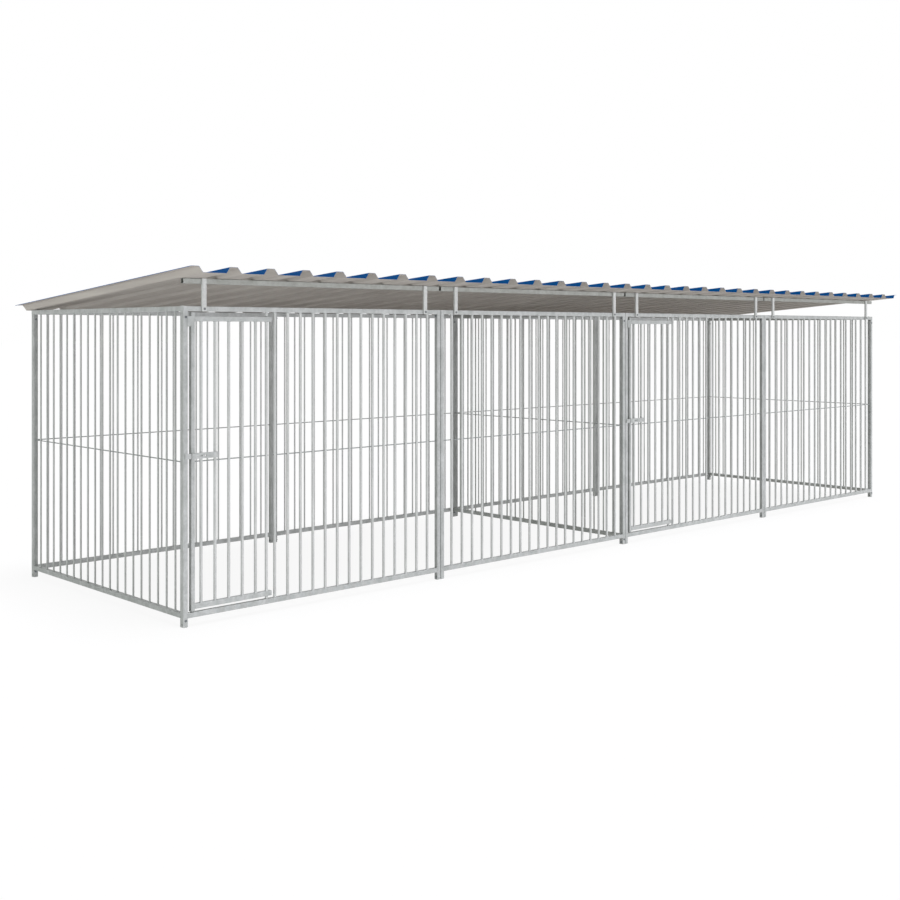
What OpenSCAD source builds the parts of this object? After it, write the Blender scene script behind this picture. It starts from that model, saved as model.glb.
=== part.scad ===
// Outdoor dog kennel run: two kennels side by side, built from bar panels of galvanised tube,
// with two inward doors and one pitched roof of trapezoidal sheets.
// Millimetres. X runs along the front from left to right, Y from front to rear, Z up.

/* [Panels] */
// Width of one front or rear panel
panel_w = 2000; // [1600:10:2600]
// Height of a panel from the ground to its top edge
panel_h = 1840; // [1500:10:2300]
// Depth of the run over the front and rear panels
run_d = 2000; // [1500:10:3000]
// Side of the square tube of posts and rails
tube = 30; // [25:1:40]
// Wall of the square tube
tube_wall = 2; // [1.5:0.1:3]
// Outer corner radius of the square tube
tube_r = 3; // [2:0.5:5]
// Clear height under the bottom rail
foot_h = 50; // [45:1:120]
// Thickness of the flat end stile of a cross panel
flat_t = 5; // [4:0.5:8]
// Gap between neighbouring panels, held open by spacers on the bolts
panel_gap = 4; // [2:0.5:8]

/* [Bars] */
// Diameter of the bars of the front panels and doors
bar_d = 18; // [16:1:22]
// Diameter of the slimmer bars of the rear and cross panels
slim_bar_d = 12; // [11:1:18]
// Wall of a bar
bar_wall = 1.5; // [1:0.1:2.5]
// Diameter of the tie rod at mid height
tie_d = 7; // [6:0.5:10]
// Radial clearance of a rod or bar in the piece it is welded into
weld_fit = 0.2; // [0.1:0.05:0.3]
// Length of tie rod that stands out past the last bar
tie_end = 4; // [2:1:10]

/* [Doors] */
// Gap between the post and the closing stile
door_gap = 22; // [14:1:30]
// Width of the closing stile
stile_w = 25; // [20:1:35]
// Setback of the door's faces behind the panel's faces
door_inset = 1; // [0.5:0.5:3]
// Gap from the panel's rails to the ends of the closing stile
stile_end_gap = 5; // [3:1:12]
// Gap from the panel's bottom rail up to the door's bottom rail
door_low_gap = 17; // [10:1:40]
// Gap from the door's top rail up to the panel's top rail
door_top_gap = 27; // [10:1:40]
// Distance from the middle of the stile to the first door bar
door_bar_start = 60; // [50:1:80]
// Spacing of the door bars
door_bar_pitch = 94; // [80:1:105]
// Distance from the last door bar to the hinge bar
hinge_step = 78; // [60:1:95]
// Length of door rail past the hinge axis
rail_tail = 30; // [22:1:36]
// Distance from the hinge axis to the first fixed bar
fixed_bar_start = 61.5; // [58:0.5:90]
// Radial clearance of the hinge bar in the panel's rails
hinge_fit = 0.3; // [0.2:0.05:0.5]
// Length of hinge bar inside the top rail
hinge_top_in = 15; // [8:1:20]

/* [Latch] */
// Height of the latch above the tie rod
latch_rise = 33; // [28:1:120]
// Length of the channel plate on the door
latch_l = 174; // [150:1:220]
// Height of the channel plate
latch_h = 33; // [28:1:45]
// Thickness of the channel plate's front web
latch_t = 3; // [2:0.5:5]
// Height of the sliding bolt
bolt_h = 22; // [16:1:24]
// Thickness of the sliding bolt
bolt_t = 5; // [4:0.5:8]
// Length of the sliding bolt
bolt_l = 146; // [130:1:150]
// Running gap round the sliding bolt
bolt_gap = 0.5; // [0.3:0.1:1]
// Travel of the sliding bolt
bolt_travel = 40; // [36:1:44]
// Diameter of the finger pin on the bolt
pin_d = 8; // [6:0.5:10]
// How far the finger pin stands out in front of the bolt
pin_out = 20; // [12:1:30]
// Setback of the drawn bolt's tip from the end of the channel plate
bolt_inset = 2; // [1:0.5:4]
// Distance from the bolt's tip to the finger pin
pin_x = 64; // [58:1:70]
// Distance from the bolt's tip to the padlock hole
lock_x = 88; // [84:1:92]
// Diameter of the padlock hole
lock_d = 11; // [8:0.5:12]
// Distance from the end of the panel to the keeper strap
keeper_x = 7; // [4:1:9]
// Length of the keeper strap
keeper_l = 41; // [30:1:42]
// Height of the keeper strap
keeper_h = 30; // [28:1:40]
// Gap from a corner bolt's head to the door stop plate
stop_gap = 1.5; // [1:0.5:3]
// How far the door stop plate covers the closing stile
stop_lap = 8; // [4:1:15]
// Height of the door stop plate
stop_h = 60; // [30:1:100]
// Thickness of the door stop plate
stop_t = 4; // [3:0.5:6]
// Distance from the top of the panel to the door stop plate
stop_down = 57; // [45:1:120]

/* [Roof] */
// Height of the purlin's top above the panels
purlin_rise = 160; // [100:1:250]
// Gap at the right end of a purlin
purlin_gap = 15; // [5:1:40]
// Width of an upright
upright_w = 30; // [25:1:40]
// Depth of an upright
upright_d = 15; // [12:1:20]
// Wall of an upright
upright_wall = 1.5; // [1:0.1:2]
// Distance from the left end of a panel to the middle of its left upright
upright_left = 130; // [60:1:300]
// Distance from the right end of a panel to the middle of its right upright
upright_right = 150; // [60:1:300]
// Thickness of the roof sheet
sheet_t = 1; // [0.8:0.1:1.5]
// Height of a rib
rib_h = 35; // [20:1:50]
// Width of a rib at its top
rib_top = 50; // [40:1:60]
// Width of a rib's sloping flank
rib_flank = 25; // [15:1:35]
// Gap at the free edge of the lower sheet in a side lap
lap_gap = 2; // [1:0.5:5]
// Roof overhang past the left end
over_left = 100; // [20:1:150]
// Roof overhang past the right end
over_right = 30; // [10:1:150]
// Roof overhang past the front
over_front = 250; // [60:5:400]
// Roof overhang past the rear
over_rear = 30; // [15:5:200]

/* [Fasteners] */
// Thread diameter of the frame bolts
bolt_d = 8; // [6:1:10]
// Radial clearance of the bolts in their holes
bolt_fit = 0.5; // [0.3:0.1:1]
// Width of bolt heads and nuts across the flats
hex_w = 13; // [12:0.5:14]
// Height of a bolt head
head_h = 5.3; // [4:0.1:7]
// Height of a nut
nut_h = 6.5; // [5:0.1:8]
// Length of thread past the nut
thread_out = 4; // [2:0.5:8]
// Gap from a rail to the nearest bolt head
head_gap = 4; // [3:0.5:10]
// Diameter of the spacers between the panels
spacer_d = 20; // [16:1:26]
// Vertical step between the bolts that cross in a post
cross_step = 22; // [20:1:30]
// Diameter of a roof screw
screw_d = 5.5; // [4.8:0.1:6.3]
// Radial clearance of roof screws in their holes, and of nuts and spacers on their bolts
screw_fit = 0.2; // [0.1:0.05:0.4]
// Length of a roof screw under the sheet
screw_l = 20; // [12:1:24]
// Diameter of the washer of a roof screw
washer_d = 16; // [14:0.5:19]
// Thickness of the washer of a roof screw
washer_t = 2; // [1.5:0.1:3]
// Width of a roof screw's head across the flats
screw_hex = 8; // [7:0.5:10]
// Height of a roof screw's head
screw_head_h = 5; // [4:0.5:6]

/* [Hidden] */
$fn = 32;
eps = 1;
front_count = 4;
plain_bars = 19;
fixed_bars = 14;
door_bars = 5;
sheet_count = 8;
ribs_per_sheet = 4;
steel = "silver";
bright_steel = "lightgray";
sheet_blue = "steelblue";

// The run's outline, and the shift that puts the origin at the middle of the box on the ground
panel_pitch = panel_w + panel_gap;
run_l = front_count * panel_pitch - panel_gap;
roof_run = run_d - tube;
roof_pitch = atan2(purlin_rise, roof_run);
purlin_top = panel_h + purlin_rise;
box_mid_x = (run_l + over_right - over_left) / 2;
box_mid_y = (run_d + over_rear - over_front) / 2;

// Heights of the rails
low_rail_z = foot_h;
low_rail_top = foot_h + tube;
top_rail_z = panel_h - tube;
tie_z = (low_rail_top + top_rail_z) / 2;
half_tube = tube / 2;
hex_d = hex_w / cos(30);

// Stations of the bars from a panel's left end
plain_pitch = (panel_w - tube) / (plain_bars + 1);
plain_x = [for (i = [1:plain_bars]) half_tube + i * plain_pitch];
cross_pitch = (run_d - tube) / (plain_bars + 1);
cross_y = [for (i = [1:plain_bars]) half_tube + i * cross_pitch];
stile_x = tube + door_gap;
stile_mid = stile_x + stile_w / 2;
door_x = [for (i = [0:door_bars - 1]) stile_mid + door_bar_start + i * door_bar_pitch];
hinge_x = door_x[door_bars - 1] + hinge_step;
fixed_x0 = hinge_x + fixed_bar_start;
fixed_pitch = (panel_w - half_tube - fixed_x0) / fixed_bars;
fixed_x = [for (i = [0:fixed_bars - 1]) fixed_x0 + i * fixed_pitch];

// Door heights and faces
door_front_y = door_inset;
door_d = tube - 2 * door_inset;
door_low_z = low_rail_top + door_low_gap;
door_top_z = top_rail_z - door_top_gap - tube;
stile_z0 = low_rail_top + stile_end_gap;
stile_z1 = top_rail_z - stile_end_gap;
hinge_z0 = low_rail_z + tube_wall + hinge_fit;
hinge_z1 = top_rail_z + hinge_top_in;
hinge_hole_d = bar_d + 2 * hinge_fit;
weld_hole_d = bar_d + 2 * weld_fit;
tie_hole_d = tie_d + 2 * weld_fit;

// Latch faces, counted from the post's front face towards the front
latch_z = tie_z + latch_rise;
bolt_back_y = -bolt_gap;
bolt_front_y = bolt_back_y - bolt_t;
web_back_y = bolt_front_y - bolt_gap;
web_front_y = web_back_y - latch_t;
guide_h = bolt_h + 2 * bolt_gap;
bolt_tip_x = stile_x + bolt_inset;
pin_slot_h = pin_d + 2 * bolt_gap;
stop_z = panel_h - stop_down - stop_h;
stop_x = half_tube + hex_d / 2 + stop_gap;

// Bolt heights: along X between panels, along Y at the cross panels
bolt_hole_d = bolt_d + 2 * bolt_fit;
x_bolt_low = foot_h - head_gap - cross_step - hex_d / 2;
x_bolt_top = top_rail_z - head_gap - hex_d / 2;
y_bolt_low = x_bolt_low + cross_step;
y_bolt_top = x_bolt_top - cross_step;
upright_bolt_z = panel_h - half_tube;
upright_x = [upright_left, panel_w - upright_right];

// Cross panels stand behind the end posts and behind the last post of the second panel
cross_x = [0, run_l - tube, front_count / 2 * panel_pitch - panel_gap - tube];
cross_len = run_d - 2 * tube;

// Roof sheets, in the plane that leans on the purlin's and the rear rail's rear edges
roof_w = run_l + over_left + over_right;
lap_w = rib_top - lap_gap;
rib_pitch = (roof_w - lap_w) / (sheet_count * ribs_per_sheet);
sheet_cover = ribs_per_sheet * rib_pitch;
sheet_top = rib_h + sheet_t;
sheet_front = (over_front + tube) / cos(roof_pitch);
sheet_rear = (roof_run + over_rear - sheet_top * sin(roof_pitch)) / cos(roof_pitch);
pan_mid = rib_top / 2 + rib_pitch / 2;
screw_pan_step = 2;
screw_rows = [-half_tube / cos(roof_pitch), (roof_run - half_tube) / cos(roof_pitch)];

// Places the run on its origin
module in_frame() {
    translate([-box_mid_x, -box_mid_y, 0]) children();
}

// Places a front panel's pieces, counted from 0
module at_front(index) {
    translate([index * panel_pitch, 0, 0]) children();
}

// Places a rear panel's pieces, counted from 0
module at_rear(index) {
    translate([index * panel_pitch, run_d - tube, 0]) children();
}

// Places pieces in the plane of the roof's underside, Y down the slope
module at_roof() {
    translate([0, tube, purlin_top]) rotate([-roof_pitch, 0, 0]) children();
}

// Rectangle with round corners, centred
module round_rect(w, d, r) {
    square([w - 2 * r, d], center = true);
    square([w, d - 2 * r], center = true);
    for (sx = [-1, 1], sy = [-1, 1]) {
        translate([sx * (w / 2 - r), sy * (d / 2 - r)]) circle(r = r);
    }
}

// Upright rectangular tube centred on Z
module tube_z(w, d, wall, len) {
    linear_extrude(height = len) difference() {
        round_rect(w, d, tube_r);
        square([w - 2 * wall, d - 2 * wall], center = true);
    }
}

// Rectangular tube along X, w deep and h tall, centred on its axis
module tube_x(w, h, wall, len) {
    rotate([90, 0, 90]) tube_z(w, h, wall, len);
}

// Rectangular tube along Y, w wide and h tall, centred on its axis
module tube_y(w, h, wall, len) {
    rotate([-90, 0, 0]) tube_z(w, h, wall, len);
}

// Round hole along X or Y through a square tube whose middle is at the origin
module hole_x(d, len) {
    rotate([0, 90, 0]) cylinder(d = d, h = len, center = true);
}
module hole_y(d, len) {
    rotate([90, 0, 0]) cylinder(d = d, h = len, center = true);
}

// Upright bar with its bore and the cross hole for the tie rod; along gives the rod's direction
module bar(d, z0, z1, along) {
    difference() {
        translate([0, 0, z0]) cylinder(d = d, h = z1 - z0);
        translate([0, 0, z0 - eps]) cylinder(d = d - 2 * bar_wall, h = z1 - z0 + 2 * eps);
        translate([0, 0, tie_z]) rotate([0, 0, along]) hole_x(tie_hole_d, d + 2 * eps);
    }
}

// Post of a front or rear panel, mitred at the top, closed at the foot
// outer_left tells which side faces away from the panel
module post(outer_left, cross_bolted) {
    flip = outer_left ? 0 : 1;
    inner = tube - 2 * tube_wall;
    mirror([flip, 0, 0]) difference() {
        union() {
            translate([half_tube, half_tube, 0]) tube_z(tube, tube, tube_wall, panel_h);
            translate([tube_wall, tube_wall, 0]) cube([inner, inner, tube_wall]);
        }
        translate([0, half_tube, panel_h]) rotate([0, -45, 0]) translate([0, -tube, 0]) cube(2 * tube);
        for (z = [x_bolt_low, x_bolt_top]) {
            translate([half_tube, half_tube, z]) hole_x(bolt_hole_d, tube + 2 * eps);
        }
        if (cross_bolted) {
            for (z = [y_bolt_low, y_bolt_top]) {
                translate([half_tube, half_tube, z]) hole_y(bolt_hole_d, tube + 2 * eps);
            }
        }
    }
}

// Top rail of a front or rear panel, mitred at both ends
module top_rail() {
    difference() {
        translate([0, half_tube, top_rail_z + half_tube]) tube_x(tube, tube, tube_wall, panel_w);
        translate([0, half_tube, panel_h]) rotate([0, 45, 0]) translate([-2 * tube, -tube, -2 * tube])
            cube([2 * tube, 2 * tube, 4 * tube]);
        translate([panel_w, half_tube, panel_h]) rotate([0, -45, 0]) translate([0, -tube, -2 * tube])
            cube([2 * tube, 2 * tube, 4 * tube]);
    }
}

// Bottom rail of a front or rear panel, between its posts
module bottom_rail() {
    translate([tube, half_tube, low_rail_z + half_tube]) tube_x(tube, tube, tube_wall, panel_w - 2 * tube);
}

// True where a cross panel is bolted to the left or right post of a panel
function bolted_left(index) = index == 0;
function bolted_right(index) = index == front_count - 1 || index == front_count / 2 - 1;

// Frame of a front or rear panel: two posts and two rails
module panel_frame(index) {
    post(true, bolted_left(index));
    translate([panel_w, 0, 0]) post(false, bolted_right(index));
    top_rail();
    bottom_rail();
}

// Holes in a front frame for the upright bolts and, on a door panel, for the hinge bar
module front_frame_holes(has_door) {
    for (x = upright_x) {
        translate([x, half_tube, upright_bolt_z]) hole_y(bolt_hole_d, tube + 2 * eps);
    }
    if (has_door) {
        translate([hinge_x, half_tube, hinge_z0]) cylinder(d = hinge_hole_d, h = hinge_z1 - hinge_z0);
    }
}

module front_panel_frame(index, has_door) {
    color(steel) in_frame() at_front(index) difference() {
        panel_frame(index);
        front_frame_holes(has_door);
    }
}

module rear_panel_frame(index) {
    color(steel) in_frame() difference() {
        at_rear(index) panel_frame(index);
        at_roof() screw_holes(index);
    }
}

// Row of bars between the rails of a front or rear panel
module bar_row(d, stations) {
    for (x = stations) {
        translate([x, half_tube, 0]) bar(d, low_rail_top, top_rail_z, 0);
    }
}

module front_panel_bars(index, has_door) {
    color(bright_steel) in_frame() at_front(index) bar_row(bar_d, has_door ? fixed_x : plain_x);
}

module rear_panel_bars(index) {
    color(bright_steel) in_frame() at_rear(index) bar_row(slim_bar_d, plain_x);
}

// Places a cross panel's pieces: 0 left side, 1 right side, 2 partition
module at_cross(index) {
    translate([cross_x[index], 0, 0]) children();
}

// Frame of a cross panel: two flat end stiles and two rails
module cross_frame(index) {
    rail_len = cross_len - 2 * flat_t;
    color(steel) in_frame() at_cross(index) {
        for (y = [tube, run_d - tube - flat_t]) {
            difference() {
                translate([0, y, 0]) cube([tube, flat_t, panel_h]);
                for (z = [y_bolt_low, y_bolt_top]) {
                    translate([half_tube, y + flat_t / 2, z]) hole_y(bolt_hole_d, flat_t + 2 * eps);
                }
            }
        }
        for (z = [low_rail_z, top_rail_z]) {
            translate([half_tube, tube + flat_t, z + half_tube]) tube_y(tube, tube, tube_wall, rail_len);
        }
    }
}

module cross_bars(index) {
    color(bright_steel) in_frame() at_cross(index) {
        for (y = cross_y) {
            translate([half_tube, y, 0]) bar(slim_bar_d, low_rail_top, top_rail_z, 90);
        }
    }
}

// Tie rod along X from x0 to x1, in a panel's own frame
module tie_rod(x0, x1) {
    translate([x0, half_tube, tie_z]) rotate([0, 90, 0]) cylinder(d = tie_d, h = x1 - x0);
}

// All fixed tie rods: a door panel's rod starts just before its first fixed bar
module tie_rods() {
    color(bright_steel) in_frame() {
        for (i = [0:front_count - 1]) {
            rod_x0 = has_door(i) ? fixed_x0 - bar_d / 2 - tie_end : tube;
            at_front(i) tie_rod(rod_x0, panel_w - tube);
            at_rear(i) tie_rod(tube, panel_w - tube);
        }
        for (i = [0:2]) {
            at_cross(i) translate([half_tube, tube + flat_t, tie_z]) rotate([-90, 0, 0])
                cylinder(d = tie_d, h = cross_len - 2 * flat_t);
        }
    }
}

// Doors stand in the first and the third front panel
function has_door(index) = index == 0 || index == front_count / 2;

// Closing stile and the two rails that carry the hinge bar
module door_frame(index) {
    rail_x = stile_x + stile_w;
    rail_len = hinge_x + rail_tail - rail_x;
    color(steel) in_frame() at_front(index) {
        translate([stile_mid, half_tube, stile_z0])
            tube_z(stile_w, door_d, tube_wall, stile_z1 - stile_z0);
        for (z = [door_low_z, door_top_z]) {
            difference() {
                translate([rail_x, half_tube, z + half_tube]) tube_x(door_d, tube, tube_wall, rail_len);
                translate([hinge_x, half_tube, z - eps]) cylinder(d = weld_hole_d, h = tube + 2 * eps);
            }
        }
    }
}

module door_bar_set(index) {
    color(bright_steel) in_frame() at_front(index) {
        for (x = door_x) {
            translate([x, half_tube, 0]) bar(bar_d, door_low_z + tube, door_top_z, 0);
        }
    }
}

// Hinge bar: turns in the panel's rails and stands on the bottom rail's inner floor
module door_hinge_bar(index) {
    color(bright_steel) in_frame() at_front(index) translate([hinge_x, half_tube, 0])
        bar(bar_d, hinge_z0, hinge_z1, 0);
}

module door_tie_rod(index) {
    color(bright_steel) in_frame() at_front(index)
        tie_rod(stile_x + stile_w, hinge_x + bar_d / 2 + tie_end);
}

// Box from the front face y0 back to y1, centred on the latch height
module latch_box(x0, x1, y0, y1, h) {
    translate([x0, y0, latch_z - h / 2]) cube([x1 - x0, y1 - y0, h]);
}

// Channel that guides the bolt, welded to the stile and to two door bars
module latch_plate(index) {
    x1 = stile_x + latch_l;
    saddle_y = half_tube - bar_d / 4;
    seat_d = bar_d + 2 * weld_fit;
    color(steel) in_frame() at_front(index) difference() {
        union() {
            latch_box(stile_x, x1, web_front_y, door_front_y, latch_h);
            for (x = [door_x[0], door_x[1]]) {
                latch_box(x - bar_d / 2, min(x + bar_d / 2, x1), web_front_y, saddle_y, latch_h);
            }
        }
        latch_box(stile_x - eps, x1 + eps, web_back_y, half_tube, guide_h);
        for (x = [door_x[0], door_x[1]]) {
            translate([x, half_tube, latch_z - latch_h]) cylinder(d = seat_d, h = 2 * latch_h);
        }
        pin_slot();
        translate([bolt_tip_x + lock_x, web_front_y, latch_z]) hole_y(lock_d, 4 * latch_t);
    }
}

// Slot in the channel's web for the finger pin's travel
module pin_slot() {
    x0 = bolt_tip_x + pin_x - bolt_travel;
    for (x = [x0, x0 + bolt_travel]) {
        translate([x, web_front_y, latch_z]) hole_y(pin_slot_h, 4 * latch_t);
    }
    latch_box(x0, x0 + bolt_travel, web_front_y - eps, web_back_y + eps, pin_slot_h);
}

// Flat bolt, drawn back at rest, with its finger pin and the two padlock holes
module latch_bolt(index) {
    color(bright_steel) in_frame() at_front(index) difference() {
        union() {
            latch_box(bolt_tip_x, bolt_tip_x + bolt_l, bolt_front_y, bolt_back_y, bolt_h);
            translate([bolt_tip_x + pin_x, bolt_front_y, latch_z]) rotate([90, 0, 0])
                cylinder(d = pin_d, h = pin_out);
        }
        for (x = [lock_x, lock_x + bolt_travel]) {
            translate([bolt_tip_x + x, bolt_front_y, latch_z]) hole_y(lock_d, 4 * bolt_t);
        }
    }
}

// Strap on the post that the bolt slides under, folded shut at its outer end
module latch_keeper(index) {
    x1 = keeper_x + keeper_l;
    color(steel) in_frame() at_front(index) difference() {
        latch_box(keeper_x, x1, web_front_y, 0, keeper_h);
        latch_box(keeper_x + latch_t, x1 + eps, web_back_y, eps, guide_h);
    }
}

// Plate on the post that the closed door meets
module door_stop(index) {
    color(steel) in_frame() at_front(index) translate([stop_x, -stop_t, stop_z])
        cube([stile_x + stop_lap - stop_x, stop_t, stop_h]);
}

// Front purlin of a panel, open at both ends and a little short of the next one
module purlin(index) {
    color(steel) in_frame() difference() {
        at_front(index) translate([0, half_tube, purlin_top - half_tube])
            tube_x(tube, tube, tube_wall, panel_w - purlin_gap);
        at_roof() screw_holes(index);
    }
}

// Two uprights for each purlin, on the front faces of the top rail and the purlin
module roof_uprights() {
    color(bright_steel) in_frame() {
        for (i = [0:front_count - 1], x = upright_x) {
            at_front(i) difference() {
                translate([x, -upright_d / 2, top_rail_z])
                    tube_z(upright_w, upright_d, upright_wall, purlin_top - top_rail_z);
                translate([x, -upright_d / 2, upright_bolt_z]) hole_y(bolt_hole_d, upright_d + 2 * eps);
            }
        }
    }
}

// Lower line of a sheet's section; the last rib is lower by one thickness and lies under the next sheet
function rib_line(k) = [
    [k * rib_pitch, rib_h],
    [k * rib_pitch + rib_top, rib_h],
    [k * rib_pitch + rib_top + rib_flank, 0],
    [(k + 1) * rib_pitch - rib_flank, 0]
];
function sheet_line() = concat(
    [for (k = [0:ribs_per_sheet - 1]) each rib_line(k)],
    [[sheet_cover, rib_h - sheet_t], [sheet_cover + lap_w, rib_h - sheet_t]]
);

// Section of a sheet with its thickness
module sheet_section() {
    low = sheet_line();
    last = len(low) - 1;
    polygon(concat(low, [for (i = [0:last]) low[last - i] + [0, sheet_t]]));
}

// Places pieces at the screws of one sheet, on the sheet's underside
module at_screws(index) {
    for (pan = [0:screw_pan_step:ribs_per_sheet - 1], y = screw_rows) {
        translate([index * sheet_cover - over_left + pan * rib_pitch + pan_mid, y, 0]) children();
    }
}

// Screw holes of the two sheets over a panel
module screw_holes(panel) {
    per_panel = sheet_count / front_count;
    for (k = [0:per_panel - 1]) {
        at_screws(panel * per_panel + k) translate([0, 0, -screw_l])
            cylinder(d = screw_d + 2 * screw_fit, h = screw_l + sheet_t + eps);
    }
}

module roof_sheet(index) {
    color(sheet_blue) in_frame() at_roof() difference() {
        translate([index * sheet_cover - over_left, sheet_rear, 0]) rotate([90, 0, 0])
            linear_extrude(height = sheet_front + sheet_rear) sheet_section();
        at_screws(index) translate([0, 0, -eps]) cylinder(d = screw_d + 2 * screw_fit, h = sheet_t + 2 * eps);
    }
}

module roof_screws() {
    color(bright_steel) in_frame() at_roof() {
        for (i = [0:sheet_count - 1]) {
            at_screws(i) {
                translate([0, 0, -screw_l]) cylinder(d = screw_d, h = screw_l + sheet_t);
                translate([0, 0, sheet_t]) cylinder(d = washer_d, h = washer_t);
                translate([0, 0, sheet_t + washer_t])
                    cylinder(d = screw_hex / cos(30), h = screw_head_h, $fn = 6);
            }
        }
    }
}

// Hexagon bolt along +Z: the head's seat is at the origin, grip is the clamped length
module hex_bolt(grip) {
    translate([0, 0, -head_h]) cylinder(d = hex_d, h = head_h, $fn = 6);
    cylinder(d = bolt_d, h = grip + nut_h + thread_out);
}

// Nut that closes the same grip
module hex_nut(grip) {
    translate([0, 0, grip]) difference() {
        cylinder(d = hex_d, h = nut_h, $fn = 6);
        translate([0, 0, -eps]) cylinder(d = bolt_d + 2 * screw_fit, h = nut_h + 2 * eps);
    }
}

// Places a fastener along +X at each joint between neighbouring front and rear panels
module at_panel_joints() {
    for (i = [1:front_count - 1], y = [half_tube, run_d - half_tube], z = [x_bolt_low, x_bolt_top]) {
        translate([i * panel_pitch - panel_gap - tube, y, z]) rotate([0, 90, 0]) children();
    }
}

// Places a fastener along Y at each end of each cross panel, heads outside
module at_corner_joints() {
    for (x = cross_x, z = [y_bolt_low, y_bolt_top]) {
        translate([x + half_tube, 0, z]) rotate([-90, 0, 0]) children();
        translate([x + half_tube, run_d, z]) rotate([90, 0, 0]) children();
    }
}

// Places a fastener along +Y at the foot of each upright
module at_upright_feet() {
    for (i = [0:front_count - 1], x = upright_x) {
        translate([i * panel_pitch + x, -upright_d, upright_bolt_z]) rotate([-90, 0, 0]) children();
    }
}

module panel_bolts() {
    color(bright_steel) in_frame() at_panel_joints() hex_bolt(2 * tube + panel_gap);
}

module panel_nuts() {
    color(bright_steel) in_frame() at_panel_joints() hex_nut(2 * tube + panel_gap);
}

module panel_spacers() {
    color(bright_steel) in_frame() at_panel_joints() translate([0, 0, tube]) difference() {
        cylinder(d = spacer_d, h = panel_gap);
        translate([0, 0, -eps]) cylinder(d = bolt_d + 2 * screw_fit, h = panel_gap + 2 * eps);
    }
}

module corner_bolts() {
    color(bright_steel) in_frame() at_corner_joints() hex_bolt(tube + flat_t);
}

module corner_nuts() {
    color(bright_steel) in_frame() at_corner_joints() hex_nut(tube + flat_t);
}

module upright_bolts() {
    color(bright_steel) in_frame() at_upright_feet() hex_bolt(upright_d + tube);
}

module upright_nuts() {
    color(bright_steel) in_frame() at_upright_feet() hex_nut(upright_d + tube);
}

for (i = [0:front_count - 1]) {
    front_panel_frame(i, has_door(i));
    front_panel_bars(i, has_door(i));
    rear_panel_frame(i);
    rear_panel_bars(i);
    purlin(i);
}
for (i = [0:2]) {
    side = ["left_side", "right_side", "partition"][i];
    cross_frame(i);
    cross_bars(i);
}
for (i = [0:1]) {
    panel = i * front_count / 2;
    door_frame(panel);
    door_bar_set(panel);
    door_hinge_bar(panel);
    door_tie_rod(panel);
    latch_plate(panel);
    latch_bolt(panel);
    latch_keeper(panel);
    door_stop(panel);
}
for (i = [0:sheet_count - 1]) {
    roof_sheet(i);
}
tie_rods();
roof_uprights();
panel_bolts();
panel_nuts();
panel_spacers();
corner_bolts();
corner_nuts();
upright_bolts();
upright_nuts();
roof_screws();
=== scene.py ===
"""Looks of the outdoor dog kennel run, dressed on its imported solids.

Metres, in the solids' own frame: X along the front from left to right, Y from front to rear, Z up.
"""

import logging
import math
from dataclasses import dataclass
from enum import Enum
from typing import Any

import bmesh
import bpy
from bpy.types import Material, Mesh, Node, NodeOutputs, NodeSocket, NodeTree, Object
from mathutils import Euler, Matrix, Vector

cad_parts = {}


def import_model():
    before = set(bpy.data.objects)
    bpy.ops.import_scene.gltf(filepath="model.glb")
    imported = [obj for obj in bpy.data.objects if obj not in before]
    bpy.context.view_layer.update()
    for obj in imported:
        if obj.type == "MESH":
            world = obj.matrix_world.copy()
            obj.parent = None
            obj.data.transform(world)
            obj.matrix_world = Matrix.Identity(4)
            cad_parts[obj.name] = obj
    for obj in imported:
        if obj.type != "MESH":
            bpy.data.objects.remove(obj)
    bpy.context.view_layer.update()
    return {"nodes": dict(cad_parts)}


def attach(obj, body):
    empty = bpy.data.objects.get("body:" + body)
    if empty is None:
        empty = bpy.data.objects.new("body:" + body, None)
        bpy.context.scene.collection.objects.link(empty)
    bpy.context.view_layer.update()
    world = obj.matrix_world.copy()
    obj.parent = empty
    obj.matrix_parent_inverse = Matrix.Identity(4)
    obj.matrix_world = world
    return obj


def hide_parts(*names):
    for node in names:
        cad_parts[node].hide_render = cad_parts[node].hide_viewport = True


LOG = logging.getLogger("kennel_run")
# Edges that bend by more than this stay sharp on smooth pieces
SHARP_CORNER = math.radians(60.0)
# Points of a small mesh that lie closer than this, in metres, are one
TOUCHING = 1e-7
# Middle of the range of a noise texture
NOISE_MIDDLE = 0.5
WHITE = "#FFFFFF"


class Body(Enum):
    """Moving bodies of the run."""

    RUN = "run"
    DOOR_1 = "door_1"
    DOOR_2 = "door_2"


class Slot(Enum):
    """Material slots of the record."""

    TUBE = "galvanised_tube"
    BAR = "galvanised_bar"
    SHEET = "roof_sheet"
    FASTENER = "zinc_fastener"


Finishes = dict[Slot, Material]


def linear(code: str) -> tuple[float, float, float, float]:
    """Turns an sRGB hex code into a linear colour.

    Args:
        code: Six hex digits after a hash sign.

    Returns:
        Red, green, blue and a full alpha.
    """
    parts = [int(code[i : i + 2], 16) / 255 for i in (1, 3, 5)]
    straight = [c / 12.92 if c <= 0.04045 else ((c + 0.055) / 1.055) ** 2.4 for c in parts]
    return (straight[0], straight[1], straight[2], 1.0)


def per_metre(size_mm: float) -> float:
    """Gives the texture scale at which one cell or wave has this size in millimetres."""
    return 1000.0 / size_mm


def fill(tree: NodeTree, node: Node, inputs: dict[int | str, Any]) -> None:
    """Sets and links the inputs of a node.

    Args:
        tree: The tree that holds the node.
        node: The node.
        inputs: Socket index or name, and its value, its source socket or its source node.
    """
    for key, value in inputs.items():
        if isinstance(key, int):
            socket = node.inputs[key]
        else:
            socket = next(s for s in node.inputs if s.name == key and s.enabled)
        if isinstance(value, Node):
            value = next(s for s in value.outputs if s.enabled)
        if isinstance(value, NodeSocket):
            tree.links.new(value, socket)
        else:
            socket.default_value = value


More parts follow.
